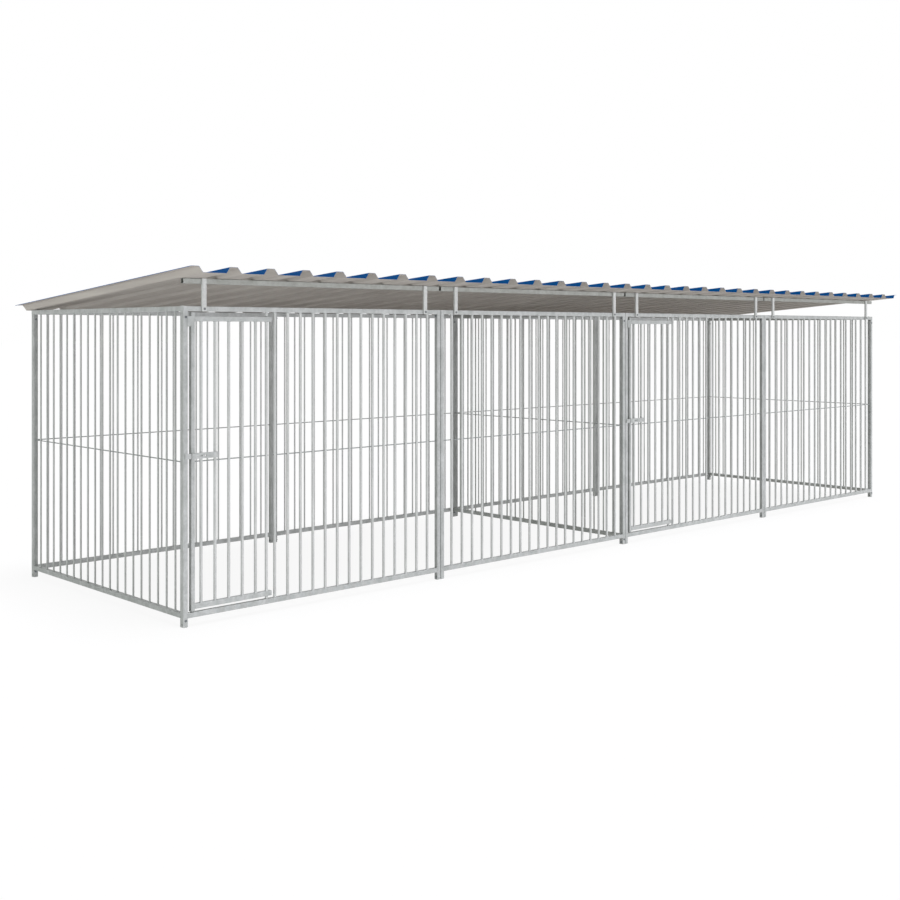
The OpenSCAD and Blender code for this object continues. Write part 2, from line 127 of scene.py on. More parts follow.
def add_node(tree: NodeTree, kind: str, inputs: dict[int | str, Any] | None = None, **settings: Any) -> Node:
    """Adds a node with its settings, values and links.

    Args:
        tree: The tree that takes the node.
        kind: Type name of the node.
        inputs: Inputs of the node, as fill takes them.
        settings: Properties of the node, set before its sockets.

    Returns:
        The new node.
    """
    made = tree.nodes.new(kind)
    for name, value in settings.items():
        setattr(made, name, value)
    fill(tree, made, inputs or {})
    return made


def new_material(name: str) -> tuple[Material, NodeTree, Node]:
    """Starts a node material.

    Args:
        name: Name of the finish.

    Returns:
        The material, its tree and its Principled shader.
    """
    material = bpy.data.materials.new(name)
    material.use_nodes = True
    tree = material.node_tree
    return material, tree, tree.nodes["Principled BSDF"]


@dataclass(frozen=True)
class ZincFinish:
    """Hot-dip zinc on steel: dull grey crystals, cloudy runs from the bath, a soft broken sheen."""

    name: str
    light: str
    dark: str
    spangle_mm: float
    cloud_mm: float
    stretch: float
    rough_low: float
    rough_high: float
    metallic: float
    bump_mm: float
    # Most of the darker tone that the crystals and the clouds can each bring
    crystal_share: float = 0.35
    cloud_share: float = 0.75
    # Part of the clouds' noise that goes from the light to the dark tone
    cloud_low: float = 0.32
    cloud_high: float = 0.68

    def material(self) -> Material:
        """Builds the material.

        Returns:
            The finished node material.
        """
        material, tree, shader = new_material(self.name)
        place = add_node(tree, "ShaderNodeTexCoord").outputs["Object"]
        runs = add_node(tree, "ShaderNodeMapping", {"Vector": place, "Scale": (1.0, 1.0, self.stretch)})
        spangle = add_node(
            tree, "ShaderNodeTexVoronoi", {"Vector": place, "Scale": per_metre(self.spangle_mm)}, feature="F1"
        )
        grain = add_node(tree, "ShaderNodeSeparateColor", {0: spangle.outputs["Color"]})
        cloud = add_node(
            tree,
            "ShaderNodeTexNoise",
            {"Vector": runs, "Scale": per_metre(self.cloud_mm), "Detail": 4.0, "Roughness": 0.6},
        )
        blotch = add_node(
            tree,
            "ShaderNodeMapRange",
            {
                "Value": cloud.outputs[0],
                "From Min": self.cloud_low,
                "From Max": self.cloud_high,
                "To Min": 0.0,
                "To Max": self.cloud_share,
            },
        )
        share = add_node(
            tree,
            "ShaderNodeMath",
            {0: grain.outputs[0], 1: self.crystal_share, 2: blotch},
            operation="MULTIPLY_ADD",
            use_clamp=True,
        )
        tint = add_node(
            tree,
            "ShaderNodeMix",
            {"Factor": share, "A": linear(self.light), "B": linear(self.dark)},
            data_type="RGBA",
        )
        rough = add_node(
            tree,
            "ShaderNodeMapRange",
            {"Value": grain.outputs[1], "To Min": self.rough_low, "To Max": self.rough_high},
        )
        bump = add_node(
            tree,
            "ShaderNodeBump",
            {"Height": cloud.outputs[0], "Strength": 0.5, "Distance": self.bump_mm / 1000},
        )
        fill(tree, shader, {"Base Color": tint, "Roughness": rough, "Normal": bump})
        fill(tree, shader, {"Metallic": self.metallic})
        return material


@dataclass(frozen=True)
class CoilPaintFinish:
    """Coil-coated steel: even stoved paint with a faint orange peel and rain streaks down the slope."""

    name: str
    main: str
    streak: str
    streak_mm: float
    peel_mm: float
    rough: float
    specular: float
    bump_mm: float
    # Scale of the streaks' noise down the slope: a small one draws the streaks out
    slope_stretch: float = 0.06
    # Part of the streaks' noise that goes from the main tone to the streak, and the most of the streak's tone
    streak_low: float = 0.35
    streak_high: float = 0.7
    streak_share: float = 0.6
    rough_spread: float = 0.08

    def material(self) -> Material:
        """Builds the material.

        Returns:
            The finished node material.
        """
        material, tree, shader = new_material(self.name)
        place = add_node(tree, "ShaderNodeTexCoord").outputs["Object"]
        scale = (1.0, self.slope_stretch, 1.0)
        slope = add_node(tree, "ShaderNodeMapping", {"Vector": place, "Scale": scale})
        streaks = add_node(
            tree,
            "ShaderNodeTexNoise",
            {"Vector": slope, "Scale": per_metre(self.streak_mm), "Detail": 3.0, "Roughness": 0.55},
        )
        share = add_node(
            tree,
            "ShaderNodeMapRange",
            {
                "Value": streaks.outputs[0],
                "From Min": self.streak_low,
                "From Max": self.streak_high,
                "To Min": 0.0,
                "To Max": self.streak_share,
            },
        )
        tint = add_node(
            tree,
            "ShaderNodeMix",
            {"Factor": share, "A": linear(self.main), "B": linear(self.streak)},
            data_type="RGBA",
        )
        rough = add_node(
            tree,
            "ShaderNodeMapRange",
            {
                "Value": streaks.outputs[0],
                "To Min": self.rough - self.rough_spread,
                "To Max": self.rough + self.rough_spread,
            },
        )
        # Real orange peel is about 1 mm wide, so it is drawn coarser to show
        peel = add_node(
            tree, "ShaderNodeTexNoise", {"Vector": place, "Scale": per_metre(self.peel_mm), "Detail": 1.0}
        )
        bump = add_node(
            tree,
            "ShaderNodeBump",
            {"Height": peel.outputs[0], "Strength": 0.25, "Distance": self.bump_mm / 1000},
        )
        fill(tree, shader, {"Base Color": tint, "Roughness": rough, "Normal": bump})
        fill(tree, shader, {"Specular IOR Level": self.specular})
        return material


@dataclass(frozen=True)
class RubberFinish:
    """EPDM sealing rubber: matt dark grey with a fine moulded grain and pale dust."""

    name: str = "epdm_rubber"
    main: str = "#26272A"
    dust: str = "#4A4B4C"
    # Real moulded grain is finer than 1 mm, so it is drawn coarser to show
    grain_mm: float = 2.0
    rough: float = 0.75

    def material(self) -> Material:
        """Builds the material.

        Returns:
            The finished node material.
        """
        material, tree, shader = new_material(self.name)
        place = add_node(tree, "ShaderNodeTexCoord").outputs["Object"]
        grain = add_node(
            tree, "ShaderNodeTexNoise", {"Vector": place, "Scale": per_metre(self.grain_mm), "Detail": 2.0}
        )
        tint = add_node(
            tree,
            "ShaderNodeMix",
            {"Factor": grain.outputs[0], "A": linear(self.main), "B": linear(self.dust)},
            data_type="RGBA",
        )
        fill(tree, shader, {"Base Color": tint, "Roughness": self.rough})
        return material


# Dipped square tube: large dull crystals and soft clouds, so the pale frames don't look painted
GALVANISED_TUBE = ZincFinish(
    name="hot_dip_galvanised_tube",
    light="#C4C7C6",
    dark="#A7ABA9",
    spangle_mm=14.0,
    cloud_mm=60.0,
    stretch=0.5,
    rough_low=0.38,
    rough_high=0.56,
    metallic=0.3,
    bump_mm=0.5,
)
# Purlin zinc with painted shade: darker and greyer, it paints the shade under the eaves and greys the purlins
# down to the tone of the roof's back
PURLIN_PAINTED_SHADE = ZincFinish(
    name="dulled_galvanised_tube",
    light="#A9ACA8",
    dark="#92958F",
    spangle_mm=12.0,
    cloud_mm=40.0,
    stretch=1.0,
    rough_low=0.5,
    rough_high=0.65,
    metallic=0.2,
    bump_mm=0.4,
)
# Dipped round bars: paler, with zinc runs drawn out along them, so they stand out against the frames
GALVANISED_BAR = ZincFinish(
    name="galvanised_round_bar",
    light="#D1D4D2",
    dark="#BCBFBD",
    spangle_mm=9.0,
    cloud_mm=25.0,
    stretch=0.12,
    rough_low=0.36,
    rough_high=0.5,
    metallic=0.3,
    bump_mm=0.3,
)
# Drawn tie rods: darker, with small tight crystals, so each reads as a fine grey line
DRAWN_ROD = ZincFinish(
    name="galvanised_drawn_rod",
    light="#A9ADAD",
    dark="#8B908F",
    spangle_mm=6.0,
    cloud_mm=20.0,
    stretch=1.0,
    rough_low=0.4,
    rough_high=0.55,
    metallic=0.4,
    bump_mm=0.2,
)
# Plated bolts, nuts and screws: dark, smooth and fully metallic, so they glint beside the dull tubes
ZINC_PLATE = ZincFinish(
    name="zinc_plated_steel",
    light="#8F9396",
    dark="#6E7276",
    spangle_mm=3.0,
    cloud_mm=8.0,
    stretch=1.0,
    rough_low=0.25,
    rough_high=0.4,
    metallic=1.0,
    bump_mm=0.1,
)
# Stoved blue paint: deep, even and almost matt, with faint rain streaks down the slope
ROOF_BLUE = CoilPaintFinish(
    name="coil_coated_blue_steel",
    main="#00508F",
    streak="#065997",
    streak_mm=90.0,
    peel_mm=6.0,
    rough=0.55,
    specular=0.04,
    bump_mm=0.15,
)
# Back coat of the sheets: matt taupe without gloss, which takes the tone of the shaded ground
ROOF_BACK = CoilPaintFinish(
    name="back_coat_taupe",
    main="#C4C0B9",
    streak="#A8A29C",
    streak_mm=70.0,
    peel_mm=8.0,
    rough=0.7,
    specular=0.0,
    bump_mm=0.1,
)


@dataclass(frozen=True)
class RunSizes:
    """Main sizes of the run, the same as those of its solids."""

    panels: int = 4
    panel_w: float = 2.0
    panel_h: float = 1.84
    run_d: float = 2.0
    tube: float = 0.030
    foot: float = 0.050
    flat: float = 0.005
    panel_gap: float = 0.004
    bar_d: float = 0.018
    slim_bar_d: float = 0.012
    plain_bars: int = 19
    fixed_bars: int = 14
    over_left: float = 0.100
    over_right: float = 0.030
    over_front: float = 0.250
    over_rear: float = 0.030
    purlin_rise: float = 0.160

    @property
    def pitch(self) -> float:
        """Distance from one panel to the next."""
        return self.panel_w + self.panel_gap

    @property
    def run_l(self) -> float:
        """Length over all panels."""
        return self.panels * self.pitch - self.panel_gap

    @property
    def cross_lines(self) -> list[float]:
        """Middles of the left side, the partition and the right side."""
        half = self.tube / 2
        return [half, self.panels / 2 * self.pitch - self.panel_gap - half, self.run_l - half]

    @property
    def low_rail_top(self) -> float:
        """Height of the bottom rail's upper face."""
        return self.foot + self.tube

    @property
    def top_rail(self) -> float:
        """Height of the top rail's lower face."""
        return self.panel_h - self.tube

    @property
    def roof_pitch(self) -> float:
        """Slope of the roof in radians."""
        return math.atan2(self.purlin_rise, self.run_d - self.tube)

    def place(self, x: float, y: float, z: float) -> Vector:
        """Moves a point from the front left foot to the shared frame.

        Args:
            x: Distance from the left end.
            y: Distance from the front face.
            z: Height above the ground.

        Returns:
            The point in the shared frame.
        """
        mid_x = (self.run_l + self.over_right - self.over_left) / 2
        mid_y = (self.run_d + self.over_rear - self.over_front) / 2
        return Vector((x - mid_x, y - mid_y, z))

    @property
    def door_panels(self) -> tuple[int, int]:
        """Front panels that hold a door, counted from 0."""
        return (0, self.panels // 2)


def new_tree(name: str, inputs: dict[str, str]) -> tuple[NodeTree, Node]:
    """Starts a Geometry Nodes tree with named inputs.

    Args:
        name: Name of the tree.
        inputs: Name and socket type of each input.

    Returns:
        The tree and its input node.
    """
    tree = bpy.data.node_groups.new(name, "GeometryNodeTree")
    tree.is_modifier = True
    tree.interface.new_socket("Geometry", in_out="INPUT", socket_type="NodeSocketGeometry")
    for label, kind in inputs.items():
        tree.interface.new_socket(label, in_out="INPUT", socket_type=kind)
    tree.interface.new_socket("Geometry", in_out="OUTPUT", socket_type="NodeSocketGeometry")
    return tree, add_node(tree, "NodeGroupInput")


def add_uneven(tree: NodeTree, scale: Any, detail: float, height: Any) -> Node:
    """Adds a height that swings about nought from place to place.

    Args:
        tree: The tree that takes the nodes.
        scale: Scale of the noise, or its socket.
        detail: How many finer noises lie on the first one.
        height: Whole swing from low to high, or its socket.

    Returns:
        The node that gives the height.
    """
    spot = add_node(tree, "GeometryNodeInputPosition")
    wave = add_node(tree, "ShaderNodeTexNoise", {"Vector": spot, "Scale": scale, "Detail": detail})
    swing = add_node(tree, "ShaderNodeMath", {0: wave.outputs[0], 1: NOISE_MIDDLE}, operation="SUBTRACT")
    return add_node(tree, "ShaderNodeMath", {0: swing, 1: height}, operation="MULTIPLY")


def grow(tree: NodeTree, base: Mesh, values: dict[str, Any]) -> Mesh:
    """Runs a Geometry Nodes tree on a base mesh.

    Args:
        tree: The tree.
        base: Mesh that goes into the tree.
        values: Name and value of each of the tree's inputs.

    Returns:
        The result as a plain mesh.
    """
    holder = bpy.data.objects.new(base.name, base)
    bpy.context.scene.collection.objects.link(holder)
    modifier = holder.modifiers.new(tree.name, "NODES")
    modifier.node_group = tree
    sockets = {
        item.name: item.identifier
        for item in tree.interface.items_tree
        if item.item_type == "SOCKET" and item.in_out == "INPUT"
    }
    for label, value in values.items():
        modifier[sockets[label]] = value
    graph = bpy.context.evaluated_depsgraph_get()
    mesh = bpy.data.meshes.new_from_object(holder.evaluated_get(graph), depsgraph=graph)
    bpy.data.objects.remove(holder)
    bpy.data.meshes.remove(base)
    return mesh


def add_piece(name: str, mesh: Mesh, body: Body, stands_for: tuple[str, ...] = ()) -> None:
    """Puts a finished mesh into the scene as a piece of the run.

    Args:
        name: Name of the piece.
        mesh: Its mesh, already in place.
        body: Body that it moves with.
        stands_for: Nodes that it replaces.
    """
    mesh.name = name
    piece = bpy.data.objects.new(name, mesh)
    bpy.context.scene.collection.objects.link(piece)
    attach(piece, body.value)
    if stands_for:
        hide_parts(*stands_for)
    LOG.info("%s: %d faces on %s", name, len(mesh.polygons), body.value)


def dress(node: Object, material: Material) -> None:
    """Gives a node of the frame its finish."""
    node.data.materials.clear()
    node.data.materials.append(material)
    LOG.info("%s dressed in %s", node.name, material.name)


@dataclass
class SetPlace:
    """Seat of a repeated piece: a point and a turn in degrees about X, Y and Z."""

    point: Vector
    turn: tuple[float, float, float] = (0.0, 0.0, 0.0)


class Repeater:
    """Sets copies of one small piece on a list of seats with Geometry Nodes."""

    # Seed of the random turns, and width of the bumps that a ripple makes
    SEED = 7
    RIPPLE_MM = 5.0

    def __init__(self) -> None:
        """Builds the tree."""
        kinds = {
            "Piece": "NodeSocketObject",
            "Spin": "NodeSocketFloat",
            "Seed": "NodeSocketInt",
            "Ripple": "NodeSocketFloat",
            "Ripple Scale": "NodeSocketFloat",
            "Material": "NodeSocketMaterial",
        }
        self.tree, given = new_tree("set_on_seats", kinds)
        tree, port = self.tree, given.outputs
        shape = add_node(tree, "GeometryNodeObjectInfo", {"Object": port["Piece"]})
        turn = add_node(tree, "GeometryNodeInputNamedAttribute", {"Name": "turn"}, data_type="FLOAT_VECTOR")
        seated = add_node(
            tree,
            "GeometryNodeInstanceOnPoints",
            {
                "Points": port["Geometry"],
                "Instance": shape.outputs["Geometry"],
                "Rotation": add_node(tree, "FunctionNodeEulerToRotation", {0: turn}),
            },
        )
        least = add_node(tree, "ShaderNodeMath", {0: port["Spin"], 1: -1.0}, operation="MULTIPLY")
        chance = add_node(
            tree,
            "FunctionNodeRandomValue",
            {"Min": least, "Max": port["Spin"], "Seed": port["Seed"]},
            data_type="FLOAT",
        )
        spun = add_node(
            tree,
            "GeometryNodeRotateInstances",
            {"Instances": seated, "Rotation": add_node(tree, "ShaderNodeCombineXYZ", {"Z": chance})},
        )
        whole = add_node(tree, "GeometryNodeRealizeInstances", {"Geometry": spun})
        height = add_uneven(tree, port["Ripple Scale"], 1.0, port["Ripple"])
        outward = add_node(
            tree,
            "ShaderNodeVectorMath",
            {0: add_node(tree, "GeometryNodeInputNormal"), "Scale": height},
            operation="SCALE",
        )
        rough = add_node(tree, "GeometryNodeSetPosition", {"Geometry": whole, "Offset": outward})
        done = add_node(tree, "GeometryNodeSetMaterial", {"Geometry": rough, "Material": port["Material"]})
        add_node(tree, "NodeGroupOutput", {0: done})

    def run(
        self,
        name: str,
        shape: Mesh,
        seats: list[SetPlace],
        material: Material,
        spin: float = 0.0,
        ripple: float = 0.0,
    ) -> Mesh:
        """Sets the piece on all seats.

        Args:
            name: Name of the result.
            shape: Mesh of one piece, seated at the origin along +Z.
            seats: Where the copies go.
            material: Finish of the copies.
            spin: Largest random turn about the piece's own axis, in radians.
            ripple: Height of the surface's unevenness in metres.

        Returns:
            All copies as one mesh.
        """
        base = bpy.data.meshes.new(name)
        base.from_pydata([tuple(seat.point) for seat in seats], [], [])
        turns = base.attributes.new("turn", "FLOAT_VECTOR", "POINT")
        for spot, seat in zip(turns.data, seats):
            spot.vector = [math.radians(angle) for angle in seat.turn]
        model = bpy.data.objects.new(shape.name, shape)
        values = {
            "Piece": model,
            "Spin": spin,
            "Seed": self.SEED,
            "Ripple": ripple,
            "Ripple Scale": per_metre(self.RIPPLE_MM),
            "Material": material,
        }
        mesh = grow(self.tree, base, values)
        bpy.data.objects.remove(model)
        bpy.data.meshes.remove(shape)
        return mesh


def lathe(name: str, line: list[tuple[float, float]], sides: int, hexagon: tuple[int, ...] = ()) -> Mesh:
    """Turns a line of radii and heights about Z.

    Args:
        name: Name of the mesh.
        line: Radius and height of each ring, the outside to the right of its run.
        sides: Number of sides, a multiple of 12 where rings are hexagons.
        hexagon: Rings, counted from 0, that are hexagons with that radius at their corners.

    Returns:
        The mesh, closed where a ring has no radius.
    """
    shape = bmesh.new()
    rings: list[list[bmesh.types.BMVert]] = []
    for index, (radius, height) in enumerate(line):
        if radius == 0:
            rings.append([shape.verts.new((0.0, 0.0, height))])
            continue
        ring = []
        for side in range(sides):
            angle = 2 * math.pi * side / sides
            reach = radius
            if index in hexagon:
                from_flat = (angle % (math.pi / 3)) - math.pi / 6
                reach = radius * math.cos(math.pi / 6) / math.cos(from_flat)
            ring.append(shape.verts.new((reach * math.cos(angle), reach * math.sin(angle), height)))
        rings.append(ring)
    for low, high in zip(rings, rings[1:]):
        for side in range(sides):
            after = (side + 1) % sides
            if len(low) == 1:
                shape.faces.new((low[0], high[after], high[side]))
            elif len(high) == 1:
                shape.faces.new((low[side], low[after], high[0]))
            else:
                shape.faces.new((low[side], low[after], high[after], high[side]))
    mesh = bpy.data.meshes.new(name)
    shape.to_mesh(mesh)
    shape.free()
    return mesh


def smooth(mesh: Mesh) -> Mesh:
    """Shades a mesh smooth between its sharp corners and gives it back."""
    mesh.polygons.foreach_set("use_smooth", [True] * len(mesh.polygons))
    mesh.set_sharp_from_angle(angle=SHARP_CORNER)
    return mesh


def sealed(mesh: Mesh) -> Mesh:
    """Joins the seam of a closed mesh, turns its faces outwards and gives it back."""
    shape = bmesh.new()
    shape.from_mesh(mesh)
    bmesh.ops.remove_doubles(shape, verts=shape.verts, dist=TOUCHING)
    bmesh.ops.recalc_face_normals(shape, faces=shape.faces)
    shape.to_mesh(mesh)
    shape.free()
    return mesh


@dataclass
class BarPanels:
    """Front, rear and cross panels: their finish and the welds between tubes and bars."""

    sizes: RunSizes
    bead_leg: float = 0.0034
    # Belly and height of a round weld as shares of its leg, and how deep it sits in the bar and the rail
    bead_belly: float = 0.62
    bead_rise: float = 1.05
    bead_in_bar: float = 0.0002
    bead_in_rail: float = 0.0003
    # Belly of a straight weld as a share of its leg, its depth in the tubes, its length as a share of
    # the tube's width, and its share of the full size at both ends
    seam_belly: float = 0.6
    seam_in: float = 0.0004
    seam_cover: float = 0.9
    seam_taper: float = 0.25
    seam_steps: int = 8
    ripple: float = 0.0012
    hinge_x: float = 0.5785
    fixed_start: float = 0.0615

    def plain_row(self) -> list[float]:
        """Stations of the bars of a plain panel."""
        pitch = (self.sizes.panel_w - self.sizes.tube) / (self.sizes.plain_bars + 1)
        return [self.sizes.tube / 2 + i * pitch for i in range(1, self.sizes.plain_bars + 1)]

    def fixed_row(self) -> list[float]:
        """Stations of the fixed bars of a door panel."""
        first = self.hinge_x + self.fixed_start
        pitch = (self.sizes.panel_w - self.sizes.tube / 2 - first) / self.sizes.fixed_bars
        return [first + i * pitch for i in range(self.sizes.fixed_bars)]

    def front_bars(self) -> list[tuple[float, float]]:
        """Places of the fixed bars of the front panels, seen from above."""
        sizes, spots = self.sizes, []
        for panel in range(sizes.panels):
            row = self.fixed_row() if panel in sizes.door_panels else self.plain_row()
            spots += [(panel * sizes.pitch + x, sizes.tube / 2) for x in row]
        return spots

    def slim_bars(self) -> list[tuple[float, float]]:
        """Places of the bars of the rear and cross panels, seen from above."""
        sizes, spots = self.sizes, []
        for panel in range(sizes.panels):
            spots += [(panel * sizes.pitch + x, sizes.run_d - sizes.tube / 2) for x in self.plain_row()]
        for x in sizes.cross_lines:
            spots += [(x, y) for y in self.plain_row()]
        return spots

    def bead(self, bar_d: float) -> Mesh:
        """Fillet weld round the end of a bar of this diameter."""
        radius, leg = bar_d / 2, self.bead_leg
        inside, foot, belly = radius - self.bead_in_bar, -self.bead_in_rail, self.bead_belly * leg
        line = [(inside, foot), (radius + leg, foot), (radius + belly, belly), (inside, self.bead_rise * leg)]
        return smooth(sealed(lathe("bar_weld", line + line[:1], sides=16)))

    def seam(self) -> Mesh:
        """Fillet welds above and below the end of a square rail, along its width."""
        half, leg, inside = self.sizes.tube / 2, self.bead_leg, -self.seam_in
        belly = self.seam_belly * leg
        section = [(inside, leg), (belly, belly), (leg, inside), (inside, inside)]
        shape = bmesh.new()
        for side in (-1, 1):
            rows = []
            for step in range(self.seam_steps + 1):
                along = (step / self.seam_steps - 0.5) * self.seam_cover * self.sizes.tube
                fade = self.seam_taper if step in (0, self.seam_steps) else 1.0
                points = [(along, side * (half + up * fade), out * fade) for up, out in section]
                rows.append([shape.verts.new(point) for point in points])
            for near, far in zip(rows, rows[1:]):
                for i in range(len(section)):
                    shape.faces.new([near[i - 1], far[i - 1], far[i], near[i]])
            shape.faces.new(rows[0])
            shape.faces.new(rows[-1])
        bmesh.ops.recalc_face_normals(shape, faces=shape.faces)
        mesh = bpy.data.meshes.new("rail_weld")
        shape.to_mesh(mesh)
        shape.free()
        return smooth(mesh)

    def rail_ends(self) -> list[SetPlace]:
        """Seats of the welds at the ends of the rails that stand on a post or a flat stile."""
        sizes, seats = self.sizes, []
        low = sizes.foot + sizes.tube / 2
        for panel in range(sizes.panels):
            for y in (sizes.tube / 2, sizes.run_d - sizes.tube / 2):
                left = panel * sizes.pitch + sizes.tube
                right = panel * sizes.pitch + sizes.panel_w - sizes.tube
                seats.append(SetPlace(sizes.place(left, y, low), (90.0, 0.0, 90.0)))
                seats.append(SetPlace(sizes.place(right, y, low), (90.0, 0.0, -90.0)))
        near, far = sizes.tube + sizes.flat, sizes.run_d - sizes.tube - sizes.flat
        for x in sizes.cross_lines:
            for z in (low, sizes.panel_h - sizes.tube / 2):
                seats.append(SetPlace(sizes.place(x, near, z), (90.0, 0.0, 180.0)))
                seats.append(SetPlace(sizes.place(x, far, z), (90.0, 0.0, 0.0)))
        return seats

    def build(
        self,
        nodes: dict[str, Object],
        repeater: Repeater,
        finishes: Finishes,
        rod: Material,
        purlin: Material,
    ) -> None:
        """Dresses the tubes and bars and lays their welds.

        Args:
            nodes: Nodes of the frame by name.
            repeater: Sets the welds.
            finishes: Material of each slot.
            rod: Finish of the tie rods.
            purlin: Finish of the purlins, darkened with painted shade.
        """
        for name, node in nodes.items():
            if name.startswith("purlin_"):
                dress(node, purlin)
            elif name.startswith(("door_stop_", "latch_keeper_", "latch_plate_")) or name.endswith("_frame"):
                dress(node, finishes[Slot.TUBE])
            elif name.startswith("latch_bolt_") or name.endswith(("_bars", "_bar", "_uprights")):
                dress(node, finishes[Slot.BAR])
            elif name.endswith(("_rod", "_rods")):
                dress(node, rod)
            elif name.endswith("_spacers"):
                dress(node, finishes[Slot.FASTENER])
        tube, sizes = finishes[Slot.TUBE], self.sizes
        rows = {"front": (sizes.bar_d, self.front_bars()), "slim": (sizes.slim_bar_d, self.slim_bars())}
        for kind, (bar_d, spots) in rows.items():
            ends = [SetPlace(sizes.place(x, y, sizes.low_rail_top)) for x, y in spots]
            ends += [SetPlace(sizes.place(x, y, sizes.top_rail), (180.0, 0.0, 0.0)) for x, y in spots]
            name = f"{kind}_bar_welds"
            welds = repeater.run(name, self.bead(bar_d), ends, tube, spin=math.pi, ripple=self.ripple)
            add_piece(name, welds, Body.RUN)
        seams = repeater.run("rail_welds", self.seam(), self.rail_ends(), tube, ripple=self.ripple)
        add_piece("rail_welds", seams, Body.RUN)


@dataclass
class Doors:
    """The two doors: welds between their bars, the hinge bar and the rails."""

    panels: BarPanels
    bodies: tuple[Body, ...] = (Body.DOOR_1, Body.DOOR_2)
    bar_start: float = 0.1245
    bar_pitch: float = 0.094
    bars: int = 5
    low_gap: float = 0.017
    top_gap: float = 0.027
    stile_end: float = 0.077

    def seats(self, panel: int) -> tuple[list[SetPlace], list[SetPlace]]:
        """Seats of the welds of one door.

        Args:
            panel: Front panel that holds the door, counted from 0.

        Returns:
            The seats of the round welds and of the rail welds.
        """
        sizes = self.panels.sizes
        start, y = panel * sizes.pitch, sizes.tube / 2
        low = sizes.low_rail_top + self.low_gap
        top = sizes.top_rail - self.top_gap
        up, down = (0.0, 0.0, 0.0), (180.0, 0.0, 0.0)
        ends = []
        for x in [start + self.bar_start + i * self.bar_pitch for i in range(self.bars)]:
            ends.append(SetPlace(sizes.place(x, y, low + sizes.tube), up))
            ends.append(SetPlace(sizes.place(x, y, top - sizes.tube), down))
        hinge = start + self.panels.hinge_x
        for z, turn in ((low, down), (low + sizes.tube, up), (top - sizes.tube, down), (top, up)):
            ends.append(SetPlace(sizes.place(hinge, y, z), turn))
        rails = [
            SetPlace(sizes.place(start + self.stile_end, y, z), (90.0, 0.0, 90.0))
            for z in (low + sizes.tube / 2, top - sizes.tube / 2)
        ]
        return ends, rails

    def build(self, repeater: Repeater, finishes: Finishes) -> None:
        """Lays the welds of both doors.

        Args:
            repeater: Sets the welds.
            finishes: Material of each slot.
        """
        tube = finishes[Slot.TUBE]
        for body, panel in zip(self.bodies, self.panels.sizes.door_panels):
            ends, rails = self.seats(panel)
            bead = self.panels.bead(self.panels.sizes.bar_d)
            name = f"{body.value}_bar_welds"
            welds = repeater.run(name, bead, ends, tube, spin=math.pi, ripple=self.panels.ripple)
            add_piece(name, welds, body)
            name = f"{body.value}_rail_welds"
            seams = repeater.run(name, self.panels.seam(), rails, tube, ripple=self.panels.ripple)
            add_piece(name, seams, body)


